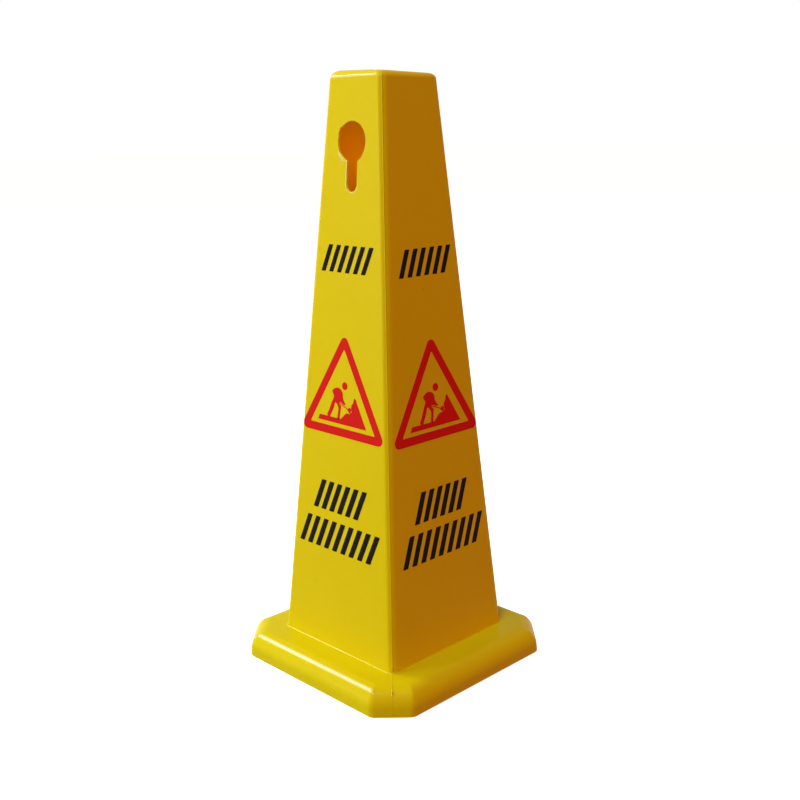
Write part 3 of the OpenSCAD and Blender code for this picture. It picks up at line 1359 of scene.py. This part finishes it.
@dataclass
class Repeats:
    """The geometry trees that repeat parts and prints round the sign's four sides."""

    bar_corner_steps: int = 4
    turns: bpy.types.NodeTree = field(init=False)
    parts: bpy.types.NodeTree = field(init=False)
    bars: bpy.types.NodeTree = field(init=False)

    def __post_init__(self) -> None:
        """Builds the trees."""
        self.turns = self._turned()
        self.parts = self._rows_of_parts()
        self.bars = self._bands_of_bars()

    @staticmethod
    def _turned() -> bpy.types.NodeTree:
        """Turns a shape round the centre line, once for each side that carries it.

        Returns:
            The tree.
        """
        tree, given = new_tree("turned", {"Shape": Socket.SHAPE, **TURN_INPUTS})
        seats = add_node(tree, "GeometryNodeMeshLine", {
            "Count": given["Sides"],
            "Offset": (0.0, 0.0, 0.0),
        })
        index = add_node(tree, "GeometryNodeInputIndex")
        turn = add_node(tree, "ShaderNodeMath", {
            0: index.outputs[0],
            1: given["Turn"],
            2: given["First turn"],
        }, operation="MULTIPLY_ADD")
        angles = add_node(tree, "ShaderNodeCombineXYZ", {"Z": turn.outputs[0]})
        rotation = add_node(tree, "FunctionNodeEulerToRotation", {0: angles.outputs[0]})
        turned = add_node(tree, "GeometryNodeInstanceOnPoints", {
            "Points": seats.outputs[0],
            "Instance": given["Shape"],
            "Rotation": rotation.outputs[0],
        })
        add_node(tree, "NodeGroupOutput", {0: turned.outputs[0]})
        return tree

    def _round_sides(
        self, tree: bpy.types.NodeTree, given: bpy.types.NodeOutputs, shape: bpy.types.Node
    ) -> bpy.types.NodeSocket:
        """Turns a shape to the sides that carry it.

        Args:
            tree: the tree that makes the shape.
            given: the sockets that give its inputs.
            shape: the node that makes the shape for the -Y side.

        Returns:
            The socket that gives the turned shapes.
        """
        inputs = {label: given[label] for label in TURN_INPUTS}
        inputs["Shape"] = shape.outputs[0]
        return add_node(tree, "GeometryNodeGroup", inputs, node_tree=self.turns).outputs[0]

    def _rows_of_parts(self) -> bpy.types.NodeTree:
        """Sets a row of one part on each side.

        Returns:
            The tree.
        """
        tree, given = new_tree("rows_of_parts", {
            "Part": Socket.PART,
            "Copies": Socket.COUNT,
            "Start": Socket.VECTOR,
            "Step": Socket.VECTOR,
            **TURN_INPUTS,
            "Finish": Socket.FINISH,
        })
        part = add_node(tree, "GeometryNodeObjectInfo", {"Object": given["Part"]})
        seats = add_node(tree, "GeometryNodeMeshLine", {
            "Count": given["Copies"],
            "Start Location": given["Start"],
            "Offset": given["Step"],
        })
        row = add_node(tree, "GeometryNodeInstanceOnPoints", {
            "Points": seats.outputs[0],
            "Instance": part.outputs["Geometry"],
        })
        end_tree(tree, self._round_sides(tree, given, row), given["Finish"])
        return tree

    def _bands_of_bars(self) -> bpy.types.NodeTree:
        """Prints a band of slanted bars on each face.

        Returns:
            The tree.
        """
        tree, given = new_tree("bands_of_bars", {
            "Bar width": Socket.LENGTH,
            "Bar height": Socket.LENGTH,
            "Slant": Socket.LENGTH,
            "Corner round": Socket.LENGTH,
            "Film": Socket.LENGTH,
            "Bars": Socket.COUNT,
            "Start": Socket.VECTOR,
            "Step": Socket.VECTOR,
            "Place": Socket.VECTOR,
            "Tilt": Socket.VECTOR,
            **TURN_INPUTS,
            "Finish": Socket.FINISH,
        })
        edge = add_node(tree, "GeometryNodeCurvePrimitiveQuadrilateral", {
            "Width": given["Bar width"],
            "Height": given["Bar height"],
            "Offset": given["Slant"],
        }, mode="PARALLELOGRAM")
        rounded = add_node(tree, "GeometryNodeFilletCurve", {
            "Curve": edge.outputs[0],
            "Count": self.bar_corner_steps,
            "Radius": given["Corner round"],
        }, mode="POLY")
        face = add_node(tree, "GeometryNodeFillCurve", {"Curve": rounded.outputs[0]}, mode="NGONS")
        film = add_node(tree, "GeometryNodeExtrudeMesh", {
            "Mesh": face.outputs[0],
            "Offset Scale": given["Film"],
        })
        under = add_node(tree, "GeometryNodeFlipFaces", {"Mesh": face.outputs[0]})
        both = add_node(tree, "GeometryNodeJoinGeometry")
        for side in (under, film):
            tree.links.new(side.outputs[0], both.inputs[0])
        bar = add_node(tree, "GeometryNodeMergeByDistance", {
            "Geometry": both.outputs[0],
            "Distance": MERGE_DISTANCE,
        })
        seats = add_node(tree, "GeometryNodeMeshLine", {
            "Count": given["Bars"],
            "Start Location": given["Start"],
            "Offset": given["Step"],
        })
        band = add_node(tree, "GeometryNodeInstanceOnPoints", {
            "Points": seats.outputs[0],
            "Instance": bar.outputs[0],
        })
        tilt = add_node(tree, "FunctionNodeEulerToRotation", {0: given["Tilt"]})
        on_face = add_node(tree, "GeometryNodeTransform", {
            "Geometry": band.outputs[0],
            "Translation": given["Place"],
            "Rotation": tilt.outputs[0],
        })
        end_tree(tree, self._round_sides(tree, given, on_face), given["Finish"])
        return tree

    @staticmethod
    def grow(name: str, tree: bpy.types.NodeTree, values: dict[str, object]) -> bpy.types.Object:
        """Runs a tree and keeps what it makes as a plain mesh.

        Args:
            name: the new piece's name.
            tree: the tree.
            values: what each of its inputs is set to, by name.

        Returns:
            The piece.
        """
        piece = bpy.data.objects.new(name, bpy.data.meshes.new(name + "_seed"))
        bpy.context.scene.collection.objects.link(piece)
        modifier = piece.modifiers.new(name, "NODES")
        modifier.node_group = tree
        for item in tree.interface.items_tree:
            if item.in_out == "INPUT":
                modifier[item.identifier] = values[item.name]
        graph = bpy.context.evaluated_depsgraph_get()
        mesh = bpy.data.meshes.new_from_object(piece.evaluated_get(graph), depsgraph=graph)
        mesh.name = name
        piece.modifiers.remove(modifier)
        piece.data = mesh
        return piece


@dataclass(frozen=True)
class Band:
    """One printed band of slanted hazard bars: where it lies and how its bars are spaced."""

    low_z: float
    high_z: float
    width: float
    bars: int
    bar_width: float
    slant: float


@dataclass
class FacePrints:
    """The prints on the four faces: bands of bars, a warning triangle and a digger."""

    pyramid: Pyramid
    repeats: Repeats
    film: float = 0.10
    sunk: float = 0.15
    bar_round: float = 0.7
    bands: tuple[Band, ...] = (
        Band(465.0, 495.0, 84.0, 6, 7.0, 12.0),
        Band(191.0, 226.0, 90.0, 6, 8.0, 14.0),
        Band(145.0, 180.0, 136.0, 9, 8.0, 14.0),
    )
    shifts: tuple[Point, Point] = ((-1.6, 1.7), (1.6, -1.7))
    frame_low: float = 291.3
    frame_high: float = 380.9
    frame_half: float = 53.9
    frame_border: float = 9.8
    frame_round: float = 6.5
    frame_inner_round: float = 0.8
    frame_steps: tuple[int, int] = (10, 4)
    digger_offset: Point = (1.6, -1.3)
    head_centre: Point = (1.2, 341.2)
    head_radius: float = 4.5
    head_steps: int = 32
    body: tuple[Point, ...] = (
        (-19.5, 333.0), (-17.0, 335.5), (-12.5, 337.5), (-7.5, 337.3), (-3.5, 335.0),
        (-1.5, 331.5), (-1.0, 327.0), (1.0, 323.5), (3.5, 320.5), (0.5, 319.6),
        (-3.5, 321.4), (-8.3, 322.0), (-7.0, 320.0), (-4.0, 317.5), (-4.5, 312.5),
        (-5.5, 307.0), (-6.0, 302.0), (-9.5, 302.0), (-9.0, 308.0), (-8.5, 315.0),
        (-13.5, 320.5), (-16.0, 314.5), (-20.5, 306.0), (-22.5, 302.9), (-27.0, 304.5),
        (-24.0, 310.5), (-20.5, 318.5), (-16.7, 326.5), (-18.0, 330.0),
    )
    shovel: tuple[Point, ...] = (
        (-8.5, 322.4), (7.0, 316.4), (11.2, 318.4), (12.8, 315.6), (11.6, 310.2),
        (6.8, 314.7), (6.0, 315.6), (-8.9, 321.4),
    )
    heap: tuple[Point, ...] = (
        (-40.0, 303.0), (-42.5, 297.0), (38.5, 297.0), (20.0, 328.3), (18.2, 330.2),
        (16.5, 328.0), (16.1, 324.6), (13.0, 321.0), (12.6, 316.8), (13.6, 313.8),
        (11.4, 310.9), (6.2, 311.2), (3.0, 309.5), (-0.4, 306.0), (-4.2, 303.0),
    )

    def _press(self, shape: bmesh.types.BMesh, pair: FacePair, *loops: list[Point]) -> None:
        """Presses a film of ink, bounded by closed loops, onto the -Y face.

        Args:
            shape: the shape that takes the film.
            pair: the faces that it is for, which shifts it.
            loops: the film's outer edge and its openings.
        """
        across, up = self.shifts[pair.value]
        tops = []
        floors = []
        for loop in loops:
            moved = [(u + across, z + up) for u, z in loop]
            tops.append([
                shape.verts.new(self.pyramid.on_face(u, z, self.film)) for u, z in moved
            ])
            floors.append([
                shape.verts.new(self.pyramid.on_face(u, z, -self.sunk)) for u, z in moved
            ])
        for floor, top in zip(floors, tops):
            join_loops(shape, [floor, top])
        fill_between(shape, *tops)
        fill_between(shape, *floors)

    def _triangle(self) -> list[list[Point]]:
        """Draws the warning triangle.

        Returns:
            Its outer edge and its inner edge, both with rounded corners.
        """
        lean = math.atan2(self.frame_half, self.frame_high - self.frame_low)
        low = self.frame_low - self.frame_border
        high = self.frame_high + self.frame_border / math.sin(lean)
        half = (high - low) * math.tan(lean)
        outer = [(-half, low), (half, low), (0.0, high)]
        inner = [
            (-self.frame_half, self.frame_low),
            (self.frame_half, self.frame_low),
            (0.0, self.frame_high),
        ]
        outer_steps, inner_steps = self.frame_steps
        return [
            round_corners(outer, self.frame_round, outer_steps),
            round_corners(inner, self.frame_inner_round, inner_steps),
        ]

    @staticmethod
    def _turns(pair: FacePair) -> dict[str, object]:
        """Gives the turns that set a print on a pair of faces."""
        return {"Sides": 2, "First turn": pair.value * QUARTER_TURN, "Turn": 2 * QUARTER_TURN}

    def _round_faces(
        self, name: str, shape: bmesh.types.BMesh, pair: FacePair, ink: bpy.types.Material
    ) -> bpy.types.Object:
        """Repeats a print of the -Y face on a pair of faces.

        Args:
            name: the print's name.
            shape: the print's film, which is freed.
            pair: the faces.
            ink: its ink.

        Returns:
            The piece.
        """
        bmesh.ops.recalc_face_normals(shape, faces=shape.faces)
        pattern = new_piece(name + "_pattern", shape, ink)
        pattern.modifiers.clear()
        piece = self.repeats.grow(f"{name}_{pair.name.lower()}", self.repeats.parts, {
            "Part": pattern,
            "Copies": 1,
            "Start": (0.0, 0.0, 0.0),
            "Step": (0.0, 0.0, 0.0),
            **self._turns(pair),
            "Finish": ink,
        })
        bpy.data.objects.remove(pattern)
        return piece

    def build_frame(self, pair: FacePair, ink: bpy.types.Material) -> bpy.types.Object:
        """Prints the warning triangles on a pair of faces.

        Args:
            pair: the faces.
            ink: their ink.

        Returns:
            The piece.
        """
        shape = bmesh.new()
        self._press(shape, pair, *self._triangle())
        return self._round_faces("warning_triangles", shape, pair, ink)

    def build_digger(self, pair: FacePair, ink: bpy.types.Material) -> bpy.types.Object:
        """Prints the figures that dig at a heap on a pair of faces.

        Args:
            pair: the faces.
            ink: their ink.

        Returns:
            The piece.
        """
        shape = bmesh.new()
        x, z = self.head_centre
        head = [
            (x + self.head_radius * math.cos(a), z + self.head_radius * math.sin(a))
            for a in spread(0.0, FULL_TURN, self.head_steps)[:-1]
        ]
        across, up = self.digger_offset
        for loop in (head, smooth_loop(self.body), self.shovel, self.heap):
            self._press(shape, pair, [(u + across, v + up) for u, v in loop])
        return self._round_faces("digger_figures", shape, pair, ink)

    def build_band(
        self, number: int, pair: FacePair, ink: bpy.types.Material
    ) -> bpy.types.Object:
        """Prints one band of bars on a pair of faces.

        Args:
            number: which of the bands, from the top.
            pair: the faces.
            ink: its ink.

        Returns:
            The piece.
        """
        band = self.bands[number]
        slope = self.pyramid.slope
        pitch = (band.width - band.bar_width - band.slant) / (band.bars - 1)
        across, up = self.shifts[pair.value]
        centre = self.pyramid.on_face(across, (band.low_z + band.high_z) / 2 + up, -self.sunk)
        name = f"hazard_bars_{number + 1}_{pair.name.lower()}"
        return self.repeats.grow(name, self.repeats.bars, {
            "Bar width": band.bar_width * MM,
            "Bar height": (band.high_z - band.low_z) / math.cos(slope) * MM,
            "Slant": band.slant * MM,
            "Corner round": self.bar_round * MM,
            "Film": (self.film + self.sunk) * MM,
            "Bars": band.bars,
            "Start": (-pitch * (band.bars - 1) / 2 * MM, 0.0, 0.0),
            "Step": (pitch * MM, 0.0, 0.0),
            "Place": tuple(centre * MM),
            "Tilt": (QUARTER_TURN - slope, 0.0, 0.0),
            **self._turns(pair),
            "Finish": ink,
        })


@dataclass
class BaseHardware:
    """What holds the ballast ring and carries the sign: screws, their bosses and foot pads."""

    repeats: Repeats
    screw_spacing: float = 140.0
    screw_line: float = 105.0
    bearing_z: float = 10.0
    shank_radius: float = 2.0
    shank_length: float = 13.0
    tip_length: float = 2.0
    tip_radius: float = 0.5
    thread_pitch: float = 1.6
    thread_depth: float = 0.4
    thread_slant: float = 2.5
    thread_start: float = 0.6
    thread_rings: int = 44
    neck_round: float = 0.3
    neck_height: float = 0.35
    tip_drop: float = 0.2
    head_radius: float = 4.5
    head_height: float = 3.0
    head_crown: tuple[Point, ...] = ((0.45, 0.0), (0.74, 0.25), (0.92, 0.8), (1.0, 1.6))
    head_edge: float = 0.25
    recess_reach: float = 2.7
    recess_width: float = 1.1
    recess_depth: float = 1.7
    recess_turn: float = math.radians(4.5)
    punch_out: float = 0.6
    punch_shares: Span = (1.25, 0.55)
    boss_radius: float = 5.0
    boss_hole: float = 2.05
    boss_low: float = 14.5
    boss_hole_high: float = 27.5
    boss_high: float = 29.0
    boss_edge: float = 0.4
    pad_place: float = 105.862
    pad_radius: float = 13.0
    pad_height: float = 6.0
    pad_edge: float = 1.0
    pad_edge_steps: int = 4
    rib_pitch: float = 2.4
    rib_depth: float = 0.5
    rib_start: float = 0.5
    rib_groove: tuple[Point, ...] = ((0.0, 0.0), (0.2, 1.0), (0.4, 1.0), (0.6, 0.0))
    round_steps: int = 40

    def _thread_ring(self, z: float) -> Ring:
        """Draws a ring of the shank, whose radius follows the helix of the thread.

        Args:
            z: its height above the bearing face.

        Returns:
            The points, counter-clockwise.
        """
        ring = []
        for a in spread(0.0, FULL_TURN, self.round_steps)[:-1]:
            turn = (z / self.thread_pitch - a / FULL_TURN) % 1.0
            cut = min(1.0, self.thread_slant * abs(turn - 0.5))
            radius = self.shank_radius - self.thread_depth * cut
            ring.append(Vector((radius * math.cos(a), radius * math.sin(a), z)))
        return ring

    def _screw(self, material: bpy.types.Material) -> bpy.types.Object:
        """Makes one pan-head screw, its head down and its bearing face at the origin.

        Args:
            material: its plated steel.

        Returns:
            The screw, to be repeated.
        """
        shape = bmesh.new()
        low = -self.head_height
        head = [(self.head_radius * share, low + rise) for share, rise in self.head_crown]
        head += [
            (self.head_radius, -self.head_edge),
            (self.head_radius - self.head_edge, 0.0),
            (self.shank_radius + self.neck_round, 0.0),
            (self.shank_radius - self.thread_depth, self.neck_height),
        ]
        rings = [circle(r, z, self.round_steps) for r, z in head]
        thread_end = self.shank_length - self.tip_length
        rings += [
            self._thread_ring(z)
            for z in spread(self.thread_start, thread_end, self.thread_rings)
        ]
        tip_z = self.shank_length - self.tip_drop
        rings.append(circle(self.tip_radius, tip_z, self.round_steps))
        grid = loft(shape, rings)
        fan(shape, grid[0], Vector((0.0, 0.0, low)))
        fan(shape, grid[-1], Vector((0.0, 0.0, self.shank_length)))
        bmesh.ops.recalc_face_normals(shape, faces=shape.faces)
        return new_piece("screw_pattern", shape, material)

    def _recess_punch(self, material: bpy.types.Material) -> bpy.types.Object:
        """Makes the tapered cross that punches the recess into a head.

        Args:
            material: the screw's plated steel.

        Returns:
            The punch, to be cleared away.
        """
        shape = bmesh.new()
        rings = []
        for z, share in zip((-self.punch_out, self.recess_depth), self.punch_shares):
            reach = self.recess_reach * share
            half = self.recess_width / 2 * share
            ring = []
            for k in range(SIDE_COUNT):
                turn = Matrix.Rotation(k * QUARTER_TURN + self.recess_turn, 3, "Z")
                for x, y in ((reach, -half), (reach, half), (half, half)):
                    ring.append(turn @ Vector((x, y, z - self.head_height)))
            rings.append(ring)
        grid = loft(shape, rings)
        shape.faces.new(grid[0])
        shape.faces.new(grid[-1])
        bmesh.ops.recalc_face_normals(shape, faces=shape.faces)
        return new_piece("recess_punch", shape, material)

    def build_screws(self, material: bpy.types.Material) -> bpy.types.Object:
        """Makes the eight screws, two on each side.

        Args:
            material: their plated steel.

        Returns:
            The piece.
        """
        pattern = self._screw(material)
        pattern.modifiers.clear()
        punch = self._recess_punch(material)
        cut = pattern.modifiers.new("recess", "BOOLEAN")
        cut.operation = "DIFFERENCE"
        cut.solver = "EXACT"
        cut.object = punch
        start = Vector((-self.screw_spacing / 2, -self.screw_line, self.bearing_z))
        return self._rows("pan_head_screws", pattern, 2, start, material, punch)

    def build_bosses(self, material: bpy.types.Material) -> bpy.types.Object:
        """Makes the bosses under the deck that take the screws.

        Args:
            material: the base's plastic.

        Returns:
            The piece.
        """
        shape = bmesh.new()
        profile = [
            (0.0, self.boss_hole_high),
            (self.boss_hole, self.boss_hole_high),
            (self.boss_hole, self.boss_low + self.boss_edge),
            (self.boss_hole + self.boss_edge, self.boss_low),
            (self.boss_radius - self.boss_edge, self.boss_low),
            (self.boss_radius, self.boss_low + self.boss_edge),
            (self.boss_radius, self.boss_high),
            (0.0, self.boss_high),
        ]
        revolve(shape, profile, self.round_steps)
        pattern = new_piece("boss_pattern", shape, material)
        start = Vector((-self.screw_spacing / 2, -self.screw_line, 0.0))
        return self._rows("screw_bosses", pattern, 2, start, material)

    def build_pads(self, material: bpy.types.Material) -> bpy.types.Object:
        """Makes the four foot pads, ribbed underneath.

        Args:
            material: their rubber.

        Returns:
            The piece.
        """
        shape = bmesh.new()
        profile = [(0.0, 0.0)]
        ribs = int((self.pad_radius - 2 * self.pad_edge) / self.rib_pitch)
        for i in range(ribs):
            r = (i + self.rib_start) * self.rib_pitch
            profile += [
                (r + along * self.rib_pitch, deep * self.rib_depth)
                for along, deep in self.rib_groove
            ]
        for a in spread(0.0, QUARTER_TURN, self.pad_edge_steps):
            profile.append((
                self.pad_radius - self.pad_edge * (1 - math.sin(a)),
                self.pad_edge * (1 - math.cos(a)),
            ))
        profile += [(self.pad_radius, self.pad_height), (0.0, self.pad_height)]
        revolve(shape, profile, self.round_steps)
        pattern = new_piece("pad_pattern", shape, material)
        start = Vector((self.pad_place, self.pad_place, 0.0))
        return self._rows("ribbed_foot_pads", pattern, 1, start, material)

    @staticmethod
    def dress_ring(ring: bpy.types.Object, material: bpy.types.Material) -> None:
        """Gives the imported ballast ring, which keeps its shape, its material.

        Args:
            ring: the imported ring.
            material: its pressed compound.
        """
        ring.data.materials.clear()
        ring.data.materials.append(material)
        LOG.info("%s: %d faces, as packed", ring.name, len(ring.data.polygons))

    def _rows(
        self,
        name: str,
        pattern: bpy.types.Object,
        copies: int,
        start: Vector,
        material: bpy.types.Material,
        *tools: bpy.types.Object,
    ) -> bpy.types.Object:
        """Repeats a pattern on the four sides and clears it away.

        Args:
            name: the new piece's name.
            pattern: the part to repeat.
            copies: how many stand on a side.
            start: where the first of them stands on the -Y side.
            material: their material.
            tools: objects that cut the pattern, cleared away with it.

        Returns:
            The piece.
        """
        piece = self.repeats.grow(name, self.repeats.parts, {
            "Part": pattern,
            "Copies": copies,
            "Start": tuple(start * MM),
            "Step": (self.screw_spacing * MM, 0.0, 0.0),
            **ALL_SIDES,
            "Finish": material,
        })
        for used in [pattern, *tools]:
            bpy.data.objects.remove(used)
        return piece


@dataclass(frozen=True)
class PhotoCamera:
    """The camera that took the photograph, fitted to the sign's outline, in mm and radians."""

    place: Triple = (893.51, -860.86, 619.75)
    yaw: float = -0.7940
    pitch: float = -0.2430
    roll: float = -0.0174
    lens: float = 49.248
    sensor: float = 36.0
    nearest: float = 50.0

    def add(self) -> None:
        """Adds the camera and makes it the scene's."""
        forward = Vector((
            math.sin(self.yaw) * math.cos(self.pitch),
            math.cos(self.yaw) * math.cos(self.pitch),
            math.sin(self.pitch),
        ))
        level = Vector((math.cos(self.yaw), -math.sin(self.yaw), 0.0))
        above = level.cross(forward)
        right = level * math.cos(self.roll) + above * math.sin(self.roll)
        up = above * math.cos(self.roll) - level * math.sin(self.roll)
        data = bpy.data.cameras.new("photo_camera")
        data.lens = self.lens
        data.sensor_width = self.sensor
        data.clip_start = self.nearest * MM
        camera = bpy.data.objects.new("photo_camera", data)
        turn = Matrix((right, up, -forward)).transposed().to_4x4()
        camera.matrix_world = Matrix.Translation(Vector(self.place) * MM) @ turn
        bpy.context.scene.collection.objects.link(camera)
        bpy.context.scene.camera = camera


@dataclass(frozen=True)
class Lamp:
    """A soft area lamp that looks at a target, in metres and watts."""

    name: str
    place: Triple
    target: Triple
    width: float
    height: float
    power: float
    colour: str = WHITE

    def add(self) -> None:
        """Adds the lamp."""
        data = bpy.data.lights.new(self.name, "AREA")
        data.shape = "RECTANGLE"
        data.size = self.width
        data.size_y = self.height
        data.energy = self.power
        data.color = linear_colour(self.colour)[:3]
        lamp = bpy.data.objects.new(self.name, data)
        lamp.location = self.place
        lamp.visible_camera = False
        aim = Vector(self.target) - Vector(self.place)
        lamp.rotation_euler = aim.to_track_quat("-Z", "Y").to_euler()
        bpy.context.scene.collection.objects.link(lamp)


@dataclass
class Studio:
    """A pale floor, a white surround and soft lamps."""

    floor_size: float = 60.0
    floor_drop: float = 0.05
    floor_glow: float = 0.97
    paper: str = "#F4F4F4"
    bounce: str = "#7A6A58"
    ambient: float = 0.2
    ambient_colour: str = "#FFA359"
    lamps: tuple[Lamp, ...] = (
        Lamp("key_lamp", (-1.9, -3.3, 0.9), (0.0, 0.0, 0.3), 1.2, 1.2, 78.0),
        Lamp("front_lamp", (1.9, -3.1, 2.2), (0.0, 0.0, 0.3), 0.5, 0.5, 14.0),
        Lamp("side_lamp", (3.4, 0.4, 0.5), (0.0, 0.0, 0.3), 2.0, 1.0, 31.5, "#FF804C"),
        Lamp("top_lamp", (0.45, -1.2, 3.4), (0.0, 0.0, 0.3), 0.8, 0.8, 33.5),
        Lamp("strip_lamp", (-1.67, -0.69, 1.64), (0.0, -0.14, 0.1), 0.6, 0.9, 20.5),
        Lamp("back_lamp", (0.0, 3.6, 2.2), (0.0, 0.0, 0.3), 1.2, 1.2, 13.0),
        Lamp("inner_lamp", (0.03, 0.0, 0.585), (-0.05, 0.0, 0.58), 0.03, 0.06, 0.038, "#FF8740"),
    )

    @staticmethod
    def _seen_directly(tree: bpy.types.NodeTree) -> bpy.types.NodeSocket:
        """Tells what the camera sees from what only lights the sign.

        Args:
            tree: the tree that asks.

        Returns:
            The socket that gives 1 for what is seen directly, in gloss or through glass.
        """
        path = add_node(tree, "ShaderNodeLightPath")
        seen = path.outputs["Is Camera Ray"]
        for kind in ("Is Glossy Ray", "Is Transmission Ray"):
            either = add_node(
                tree, "ShaderNodeMath", {0: seen, 1: path.outputs[kind]}, operation="MAXIMUM"
            )
            seen = either.outputs["Value"]
        return seen

    def _surround(self) -> None:
        """Makes the white surround and the even light that it gives."""
        world = bpy.data.worlds.new("white_surround")
        world.use_nodes = True
        tree = world.node_tree
        tree.nodes.clear()
        light = add_node(tree, "ShaderNodeBackground", {
            "Color": linear_colour(self.ambient_colour),
            "Strength": self.ambient,
        })
        white = add_node(tree, "ShaderNodeBackground", {
            "Color": linear_colour(WHITE),
            "Strength": 1.0,
        })
        either = add_node(tree, "ShaderNodeMixShader", {
            0: self._seen_directly(tree),
            1: light.outputs[0],
            2: white.outputs[0],
        })
        add_node(tree, "ShaderNodeOutputWorld", {"Surface": either.outputs[0]})
        bpy.context.scene.world = world

    def _floor(self) -> None:
        """Lays the floor, which keeps the sign's shadow and fades into the surround."""
        material = bpy.data.materials.new("floor_paper_white")
        material.use_nodes = True
        tree = material.node_tree
        tree.nodes.clear()
        bounce = add_node(tree, "ShaderNodeBsdfDiffuse", {"Color": linear_colour(self.bounce)})
        paper = add_node(tree, "ShaderNodeBsdfDiffuse", {"Color": linear_colour(self.paper)})
        glow = add_node(tree, "ShaderNodeEmission", {
            "Color": linear_colour(WHITE),
            "Strength": self.floor_glow,
        })
        shown = add_node(tree, "ShaderNodeAddShader", {0: paper.outputs[0], 1: glow.outputs[0]})
        either = add_node(tree, "ShaderNodeMixShader", {
            0: self._seen_directly(tree),
            1: bounce.outputs[0],
            2: shown.outputs[0],
        })
        side = add_node(tree, "ShaderNodeNewGeometry")
        clear = add_node(tree, "ShaderNodeBsdfTransparent")
        from_above = add_node(tree, "ShaderNodeMixShader", {
            0: side.outputs["Backfacing"],
            1: either.outputs[0],
            2: clear.outputs[0],
        })
        add_node(tree, "ShaderNodeOutputMaterial", {"Surface": from_above.outputs[0]})
        shape = bmesh.new()
        bmesh.ops.create_grid(shape, x_segments=1, y_segments=1, size=self.floor_size / 2 / MM)
        bmesh.ops.translate(shape, vec=(0.0, 0.0, -self.floor_drop), verts=shape.verts)
        floor = new_piece("floor", shape, material)

    def build(self) -> None:
        """Sets the stage and its light."""
        self._surround()
        self._floor()
        for lamp in self.lamps:
            lamp.add()
        bpy.context.scene.view_settings.view_transform = "Standard"


def main() -> None:
    """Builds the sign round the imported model."""
    logging.basicConfig(level=logging.INFO, format="%(name)s: %(message)s")
    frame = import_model()
    PhotoCamera().add()
    Studio().build()
    yellow = YELLOW.build()
    # The rounded edges' plastic: smoother, with painted shade in its slightly darker pigment
    rubbed_and_shaded = YELLOW_RUBBED_AND_SHADED.build()
    pyramid = Pyramid()
    fasten(pyramid.build(yellow, rubbed_and_shaded), Slot.SHELL, "cone_shell")
    # The base's plastic, tinted greener as painted light against the warm light on its deck
    lemon_light_offset = LEMON_LIGHT_OFFSET.build()
    fasten(Base().build(pyramid, lemon_light_offset, rubbed_and_shaded), Slot.SKIRT, "base_skirt")
    repeats = Repeats()
    prints = FacePrints(pyramid, repeats)
    red = RED_INK.build()
    black = BLACK_INK.build()
    for pair in FacePair:
        fasten(prints.build_frame(pair, red), Slot.SHELL)
        fasten(prints.build_digger(pair, red), Slot.SHELL)
        for number in range(len(prints.bands)):
            fasten(prints.build_band(number, pair, black), Slot.SHELL)
    hardware = BaseHardware(repeats)
    fasten(hardware.build_screws(ZINC.build()), Slot.SCREW, "ring_screws")
    fasten(hardware.build_bosses(lemon_light_offset), Slot.SKIRT)
    fasten(hardware.build_pads(PAD_RUBBER.build()), Slot.PAD, "foot_pads")
    hardware.dress_ring(frame["nodes"]["ballast_ring"], BALLAST.build())


if __name__ == "__main__":
    main()
